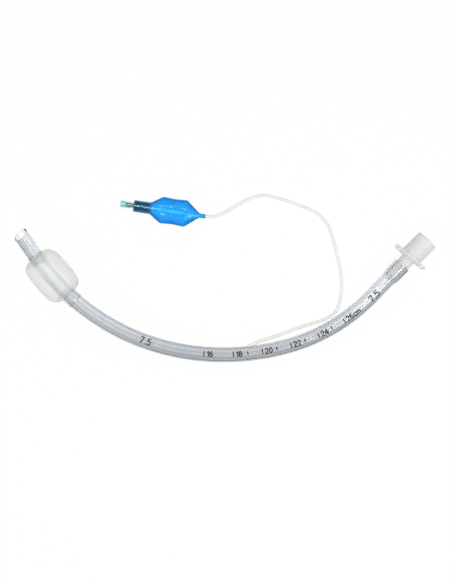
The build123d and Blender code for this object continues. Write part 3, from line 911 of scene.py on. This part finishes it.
def lumen_air():
    """The wall of the air channel: the same plastic, seen from its bore."""
    material, tree, shader = finish_of("lumen_air", (0.74, 0.76, 0.82), IOR=1.2, Transmission_Weight=1.0)
    smudge = handling(tree, 200.0, 1500.0)["Smudge"]
    color = tinted(tree, smudge, (0.80, 0.82, 0.87), (0.62, 0.64, 0.72))
    paint(tree, shader, color, between(tree, smudge, 0.05, 0.2))
    return material


def cuff_film():
    """Frosted film: it lets light through and blurs what lies behind it, with fine clouding and a soft
    sheen."""
    material, tree, shader = finish_of("cuff_film", (0.92, 0.92, 0.91), IOR=1.12, Transmission_Weight=0.85,
                                       Coat_Weight=0.9, Coat_Roughness=0.30)
    grain = drawn_grain(tree, surface_map(tree)[0], 2.0, 70.0, 9.0)
    marks = handling(tree, 130.0, 1100.0)
    color = tinted(tree, grain["Mask"], (0.90, 0.90, 0.89), (0.84, 0.845, 0.84))
    paint(tree, shader, color, between(tree, marks["Smudge"], 0.38, 0.52))
    emboss(tree, shader, grain["Mask"], 0.10, 0.0002)
    let_light_through(tree, shader, 0.12)
    return material


def milky_plastic():
    """Moulded milky plastic: slightly see-through, a warm pale grey, faintly clouded and moulded matt."""
    material, tree, shader = finish_of("milky_plastic", (0.84, 0.84, 0.825), IOR=1.35,
                                       Transmission_Weight=0.35)
    marks = handling(tree, 140.0, 1600.0)
    facing = add(tree, "ShaderNodeLayerWeight", {"Blend": 0.4}).outputs["Facing"]
    body = tinted(tree, marks["Smudge"], (0.85, 0.85, 0.835), (0.81, 0.81, 0.795))
    color = tinted(tree, facing, body, (0.84, 0.84, 0.825))
    paint(tree, shader, color, between(tree, marks["Smudge"], 0.34, 0.50))
    emboss(tree, shader, marks["Speck"], 0.08)
    let_light_through(tree, shader, 0.35)
    return material


def line_pvc():
    """The pilot line: pale, nearly clear soft plastic, with painted shade making it a little darker along its
    edges.
    """
    material, tree, shader = finish_of("line_pvc", (0.88, 0.88, 0.86), IOR=1.45, Transmission_Weight=0.15)
    smudge = handling(tree, 160.0, 1200.0)["Smudge"]
    body = tinted(tree, smudge, (0.89, 0.89, 0.87), (0.85, 0.85, 0.83))
    # Painted shade: darker where the round line turns away from the eye
    color = tinted(tree, turned_away(tree, 0.1, 0.9), body, (0.74, 0.74, 0.71))
    paint(tree, shader, color, between(tree, smudge, 0.28, 0.45))
    emboss(tree, shader, smudge, 0.05)
    let_light_through(tree, shader, 0.5)
    return material


def blue_film():
    """Glossy blue film: azure over the balloon, with painted shade deepening it where its surface turns away
    from the eye; deep teal over the valve's sleeve, with a painted highlight along its top and painted
    shade along its sides."""
    material, tree, shader = finish_of("blue_film", (0.05, 0.55, 0.98), IOR=1.12, Transmission_Weight=0.97,
                                       Coat_Weight=0.7, Coat_Roughness=0.20)
    surface, along, around = surface_map(tree)
    sleeve = add(tree, "ShaderNodeMapRange", {"Value": along, "From Min": 0.26, "From Max": 0.20}).outputs[0]
    # Over the sleeve: deep teal, with a painted highlight along its top and painted shade darkening its sides
    sleeve_tone_and_painted_light = banded(tree, around, (0.0, (0.0, 0.10, 0.22)), (0.10, (0.0, 0.32, 0.52)),
                     (0.19, (0.0, 0.22, 0.40)), (0.245, (0.35, 0.78, 0.84)), (0.30, (0.0, 0.24, 0.42)),
                     (0.42, (0.0, 0.36, 0.56)), (0.5, (0.0, 0.10, 0.22)), (1.0, (0.02, 0.40, 0.60)))
    smudge = handling(tree, 150.0, 1300.0)["Smudge"]
    film = tinted(tree, smudge, (0.0, 0.66, 1.0), (0.0, 0.55, 0.98))
    # Painted shade: a deeper blue where the film turns away from the eye, at its edges and the slopes of its
    # folds
    film = tinted(tree, turned_away(tree, 0.06, 0.60), film, (0.0, 0.20, 0.60))
    paint(tree, shader, tinted(tree, sleeve, film, sleeve_tone_and_painted_light), between(tree, smudge, 0.10, 0.18))
    emboss(tree, shader, smudge, 0.10, 0.0003)
    let_light_through(tree, shader, 0.4)
    return material


def moulded(name, pale, deep, roughness, see_through, scale):
    """A small moulded plastic part: two close tones in clouds, with painted shade darkening it towards its
    edges, fine moulding grain."""
    material, tree, shader = finish_of(name, pale, IOR=1.49, Transmission_Weight=see_through)
    marks = handling(tree, scale, 8 * scale)
    body = tinted(tree, marks["Smudge"], pale, deep)
    # Painted shade: a darker tone where the part turns away from the eye
    painted_edge_shade = tuple(0.4 * part for part in deep)
    color = tinted(tree, turned_away(tree, 0.20, 0.70), body, painted_edge_shade)
    paint(tree, shader, color, between(tree, marks["Smudge"], roughness, 2 * roughness))
    emboss(tree, shader, marks["Speck"], 0.10)
    if see_through:
        let_light_through(tree, shader, 0.4)
    return material


def drawn_steel():
    """The spring's drawn wire: bright steel with fine lengthwise scratches."""
    material, tree, shader = finish_of("spring_steel", (0.60, 0.60, 0.62), Metallic=1.0)
    place = add(tree, "ShaderNodeTexCoord").outputs["Object"]
    grain = drawn_grain(tree, place, 300.0, 3000.0, 400.0)
    color = tinted(tree, grain["Mask"], (0.70, 0.70, 0.72), (0.45, 0.45, 0.48))
    paint(tree, shader, color, between(tree, grain["Mask"], 0.2, 0.5))
    return material


def ink():
    """Printing ink: near black, matt, a little thin in places."""
    material, tree, shader = finish_of("scale_ink", (0.045, 0.045, 0.055), IOR=1.4)
    smudge = handling(tree, 600.0, 2500.0)["Smudge"]
    color = tinted(tree, smudge, (0.004, 0.004, 0.006), (0.02, 0.02, 0.025))
    paint(tree, shader, color, between(tree, smudge, 0.45, 0.7))
    return material


def dress(piece, material):
    """The piece wears this material only."""
    piece.data.materials.clear()
    piece.data.materials.append(material)


def table():
    """The white table: a flat sheet that shows the object's shadow, and plain white to the camera, to
    reflections and through clear parts."""
    reach = 0.8
    corners = np.array([(-reach, -reach, 0), (reach, -reach, 0), (reach, reach, 0), (-reach, reach, 0)])
    floor = mesh_piece("table", corners, np.array([[0, 1, 2, 3]]))
    material = bpy.data.materials.new("table_white")
    material.use_nodes = True
    tree = material.node_tree
    tree.nodes.clear()
    path = add(tree, "ShaderNodeLightPath").outputs
    seen = path["Is Camera Ray"]
    for ray in ("Is Glossy Ray", "Is Transmission Ray"):
        seen = add(tree, "ShaderNodeMath", {0: seen, 1: path[ray]}, operation="MAXIMUM").outputs[0]
    share = add(tree, "ShaderNodeMath", {0: seen, 1: TABLE_WHITE}, operation="MULTIPLY")
    matt = add(tree, "ShaderNodeBsdfDiffuse", {"Color": (0.9, 0.9, 0.9, 1)})
    white = add(tree, "ShaderNodeEmission", {"Strength": 1.0})
    mixed = add(tree, "ShaderNodeMixShader", {0: share.outputs[0], 1: matt.outputs[0], 2: white.outputs[0]})
    add(tree, "ShaderNodeOutputMaterial", {0: mixed.outputs[0]})
    dress(floor, material)


def studio():
    """The room's light: white to the camera, and otherwise a pale ceiling that falls off to a dim
    horizon, by the height of the direction looked in."""
    world = bpy.data.worlds.new("studio")
    scene.world = world
    world.use_nodes = True
    tree = world.node_tree
    tree.nodes.clear()
    path = add(tree, "ShaderNodeLightPath").outputs
    looking = add(tree, "ShaderNodeTexCoord").outputs["Generated"]
    height = add(tree, "ShaderNodeSeparateXYZ", {0: looking}).outputs["Z"]
    room = add(tree, "ShaderNodeMapRange", {"Value": height, "From Min": 0.05, "From Max": 0.70,
                                            "To Min": ROOM_LOW, "To Max": ROOM_HIGH},
               interpolation_type="SMOOTHSTEP").outputs[0]
    strength = add(tree, "ShaderNodeMath", {0: path["Is Camera Ray"], 1: room}, operation="MAXIMUM")
    surround = add(tree, "ShaderNodeBackground", {"Color": (1, 1, 1, 1), "Strength": strength.outputs[0]})
    add(tree, "ShaderNodeOutputWorld", {0: surround.outputs[0]})


def soft_box(name, x, y, size, turned, power):
    """A rectangular soft box overhead that faces straight down, turned about the vertical."""
    data = bpy.data.lights.new(name, "AREA")
    data.shape = "RECTANGLE"
    data.size, data.size_y = size
    data.energy = power
    lamp = bpy.data.objects.new(name, data)
    scene.collection.objects.link(lamp)
    lamp.location = (x, y, OVERHEAD)
    lamp.rotation_euler = (0.0, 0.0, math.radians(turned))


make_camera()
line = pilot_line()
tube = tube_wall()
lumen = inflation_lumen()
barrel = cuff_barrel()
collars = cuff_collars()
balloon = pilot_balloon()
scale = print_marks()
valve = valve_housing()
coil = valve_coil()

dress(line, line_pvc())
dress(tube, clear_pvc())
dress(lumen, lumen_air())
dress(barrel, cuff_film())
dress(collars, collar_film())
dress(balloon, blue_film())
dress(scale, ink())
dress(nodes["connector"], milky_plastic())
teal = moulded("teal_plastic", (0.50, 0.84, 0.84), (0.36, 0.74, 0.76), 0.04, 0.95, 400.0)
dress(valve, teal)
dress(nodes["valve_retainer"], teal)
amber = moulded("amber_plastic", (0.72, 0.40, 0.08), (0.50, 0.25, 0.05), 0.20, 0.0, 500.0)
dress(nodes["valve_plunger"], amber)
rubber = moulded("seal_rubber", (0.035, 0.035, 0.04), (0.015, 0.015, 0.018), 0.35, 0.0, 600.0)
dress(nodes["valve_seal"], rubber)
dress(coil, drawn_steel())

table()
studio()
soft_box("key_box", 0.345, -0.265, (0.38, 0.14), 48, 1.8)
soft_box("side_box", -0.500, -0.110, (0.20, 0.16), 0, 0.85)
soft_box("far_box", -0.075, 0.103, (0.15, 0.10), -8, 0.60)

scene.view_settings.view_transform = "Standard"
